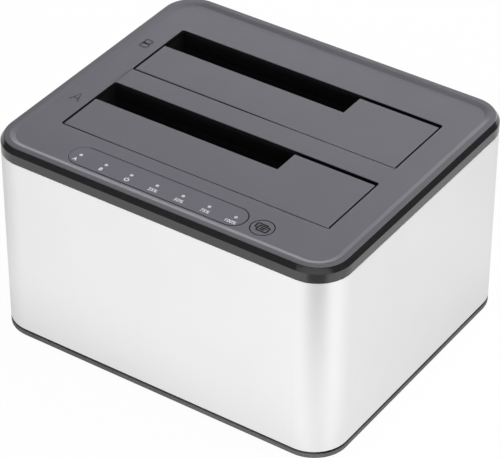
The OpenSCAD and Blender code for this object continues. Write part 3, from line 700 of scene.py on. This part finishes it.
def torsion_spring(name, shift, flap):
    """Torsion spring on the hinge rod: a leg up the front of the collar, a helix of four turns and a quarter,
    and a leg under the flap."""
    y, z = HINGE_Y + shift, HINGE_Z
    u = np.linspace(0, 1, 160)
    a = np.pi - 2 * np.pi * COIL_TURNS * u
    coil = np.column_stack([COIL_X + COIL_L * u, y + COIL_R * np.cos(a), z + COIL_R * np.sin(a)])
    low = coil[0] - np.outer(np.linspace(0.004, 0.0003, 8), [0, 0, 1])
    high = coil[-1] + np.outer(np.linspace(0.0003, 0.007, 10), [0, 1, 0])
    points, faces = wire(np.concatenate([low, coil, high]), WIRE_R)
    obj = add_mesh(name, points, faces, FINISH["steel"])
    obj.data.polygons.foreach_set("use_smooth", np.ones(len(faces), bool))
    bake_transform(obj)
    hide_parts("flap_spring_" + flap[-1])


torsion_spring("spring_wire_a", 0.0, "flap_a")
torsion_spring("spring_wire_b", SLOT_PITCH, "flap_b")


# Stage

FLOOR_HALF, FLOOR_Z = 6.0, -0.0001
BEND_AT, BEND_R = 1.2, 0.3
BACKDROP_Z, BACKDROP_TOP, BACKDROP_HALF = 0.0005, 0.62, 1.3


def sheet_finish():
    """White sheet that keeps the soft shadow and is clear from below.
    In mirrored rays it is a painted map of light and shade: painted highlights to both sides of the near
    corner, painted shadow close to the body and behind it, and a painted dark patch far in front."""
    p = Paint("white_sheet")
    p.set(Base_Color=(0.96, 0.96, 0.96, 1), Roughness=0.9, Specular_IOR_Level=0.0)
    ray = {name: p.node("ShaderNodeLightPath", output=name)
           for name in ("Is Camera Ray", "Is Glossy Ray", "Is Transmission Ray")}
    mirrored = ray["Is Glossy Ray"].most(ray["Is Transmission Ray"])
    seen = (ray["Is Camera Ray"] * 0.97).most(mirrored)
    x, y, _ = p.xyz
    across = x * SIDEWAYS[0] + y * SIDEWAYS[1]
    near = x * -AWAY[0] - y * AWAY[1]
    from_body = inside_outline(p)
    # angle about the body's near corner, from straight ahead of it
    angle = (across - NEAR_CORNER[0]).math("ARCTAN2", near - NEAR_CORNER[1])
    # painted reflections, seen only in mirrored rays: a painted dark patch far in front, painted shadow near
    # the body, behind it, to the left, to the right and far off, and painted highlights in streaks to both
    # sides of the near corner
    painted_dark_patch = near.ramp(0.145, 0.172) * abs(angle + 0.09).fall(0.36, 0.64) * 0.60
    contact = from_body.fall(0.0, 0.034) * across.ramp(-0.10, 0.03, 0.25, 0.13)
    behind = near.fall(-0.045, 0.0)
    side = across.ramp(0.03, 0.09)
    far = from_body.ramp(0.02, 0.10) * (1.0 - side)
    left = across.fall(-0.12, -0.07) * near.fall(0.01, 0.045)
    painted_streaks = (abs(angle + 0.89).fall(0.18, 0.45) * (1.0 - 0.2 * far)).most(abs(angle - 0.96).fall(0.2, 0.55))
    painted_dimming = contact + 0.07 * behind + 0.11 * left + (0.08 * side + 0.07 * far) * (1.0 - painted_streaks)
    level = (0.92 + 0.08 * painted_streaks - painted_dimming) * (1.0 - painted_dark_patch)
    tone = p.mix(1.0 - mirrored * (1.0 - level), (0, 0, 0, 1), (1, 1, 1, 1))
    glow = p.node("ShaderNodeEmission", {}, {0: tone, 1: 1.0})
    both = p.node("ShaderNodeMixShader", {}, {0: seen, 1: Val(p, p.shader.outputs[0]), 2: glow})
    back_side = p.node("ShaderNodeNewGeometry", output="Backfacing")
    clear = p.node("ShaderNodeBsdfTransparent")
    p.feed(p.out.inputs[0], p.node("ShaderNodeMixShader", {}, {0: back_side, 1: both, 2: clear}))
    return p.material


def stage():
    """A wide floor, and square to the camera a backdrop that rises in a quarter circle and then upright."""
    sheet = sheet_finish()
    s, z = FLOOR_HALF, FLOOR_Z
    add_mesh("floor", [(-s, -s, z), (s, -s, z), (s, s, z), (-s, s, z)], [(0, 1, 2, 3)], sheet)
    a = np.linspace(0, np.pi / 2, 13)
    run = np.concatenate([BEND_AT + BEND_R * np.sin(a), [BEND_AT + BEND_R]])
    rise = np.concatenate([BACKDROP_Z + BEND_R * (1 - np.cos(a)), [BACKDROP_TOP]])
    side = np.linspace(-BACKDROP_HALF, BACKDROP_HALF, 9)
    flat = run[:, None, None] * np.array(AWAY) + side[None, :, None] * np.array(SIDEWAYS)
    high = np.broadcast_to(rise[:, None, None], flat.shape[:2] + (1,))
    points = np.concatenate([flat, high], 2).reshape(-1, 3)
    k = np.arange(len(points)).reshape(len(run), len(side))
    faces = np.stack([k[:-1, :-1], k[:-1, 1:], k[1:, 1:], k[1:, :-1]], -1).reshape(-1, 4)
    add_mesh("backdrop", points.tolist(), faces.tolist(), sheet)


def put(obj, right, up, back, place):
    """Puts a lamp or camera at place, with its x, y and z along right, up and back."""
    bpy.context.scene.collection.objects.link(obj)
    m = np.eye(4)
    m[:3, 0], m[:3, 1], m[:3, 2], m[:3, 3] = right, up, back, place
    obj.matrix_world = Matrix(m.tolist())


def softbox(name, azimuth, elevation, distance, width, height, radiance):
    """A soft lamp seen from the object at that azimuth and elevation, as bright as the radiance given."""
    a, e = math.radians(azimuth), math.radians(elevation)
    back = np.array([math.cos(a) * math.cos(e), math.sin(a) * math.cos(e), math.sin(e)])
    right = np.cross([0.0, 0.0, 1.0], back)
    right /= np.linalg.norm(right)
    data = bpy.data.lights.new(name, "AREA")
    data.shape = "RECTANGLE"
    data.size, data.size_y = width, height
    data.energy = math.pi * width * height * radiance
    put(bpy.data.objects.new(name, data), right, np.cross(back, right), back, distance * back + AIM)


def world(strength):
    """An even white light from all around."""
    w = bpy.data.worlds.new("studio")
    w.use_nodes = True
    back = w.node_tree.nodes["Background"]
    back.inputs[0].default_value = (1, 1, 1, 1)
    back.inputs[1].default_value = strength
    bpy.context.scene.world = w


def camera():
    """The photograph's camera: its place, angles and lens were found from the object's own edges.
    It looks along the y axis turned left by the heading, down by the tilt, and is rolled about that line."""
    data = bpy.data.cameras.new("camera")
    data.sensor_fit = "HORIZONTAL"
    data.sensor_width = 36.0
    data.lens = LENS
    data.clip_end = 50.0
    obj = bpy.data.objects.new("camera", data)
    h, t, r = np.radians([HEADING, TILT, ROLL])
    level = np.array([np.cos(h), np.sin(h), 0.0])
    ahead = np.array([-np.sin(h) * np.cos(t), np.cos(h) * np.cos(t), -np.sin(t)])
    right = np.cos(r) * level + np.sin(r) * np.cross(level, ahead)
    put(obj, right, np.cross(right, ahead), -ahead, CAMERA_AT)
    bpy.context.scene.camera = obj


# name, azimuth, elevation, distance, width, height, radiance
SOFTBOXES = (
    ("top_lamp", 30, 70, 2.2, 2.6, 2.6, 1.55),
    ("back_lamp", 102, 14, 1.2, 1.6, 0.36, 3.8),
    ("slope_lamp", 74, 50, 2.0, 0.6, 0.6, 2.2),
    ("left_lamp", -98, 8, 2.0, 3.0, 0.5, 2.9),
    ("right_lamp", -14, 8, 2.0, 2.6, 0.5, 2.2),
    ("front_lamp", -62, 26, 2.0, 3.9, 0.5, 0.6),
)

stage()
for box in SOFTBOXES:
    softbox(*box)
world(strength=0.12)
camera()
bpy.context.scene.view_settings.view_transform = "Standard"
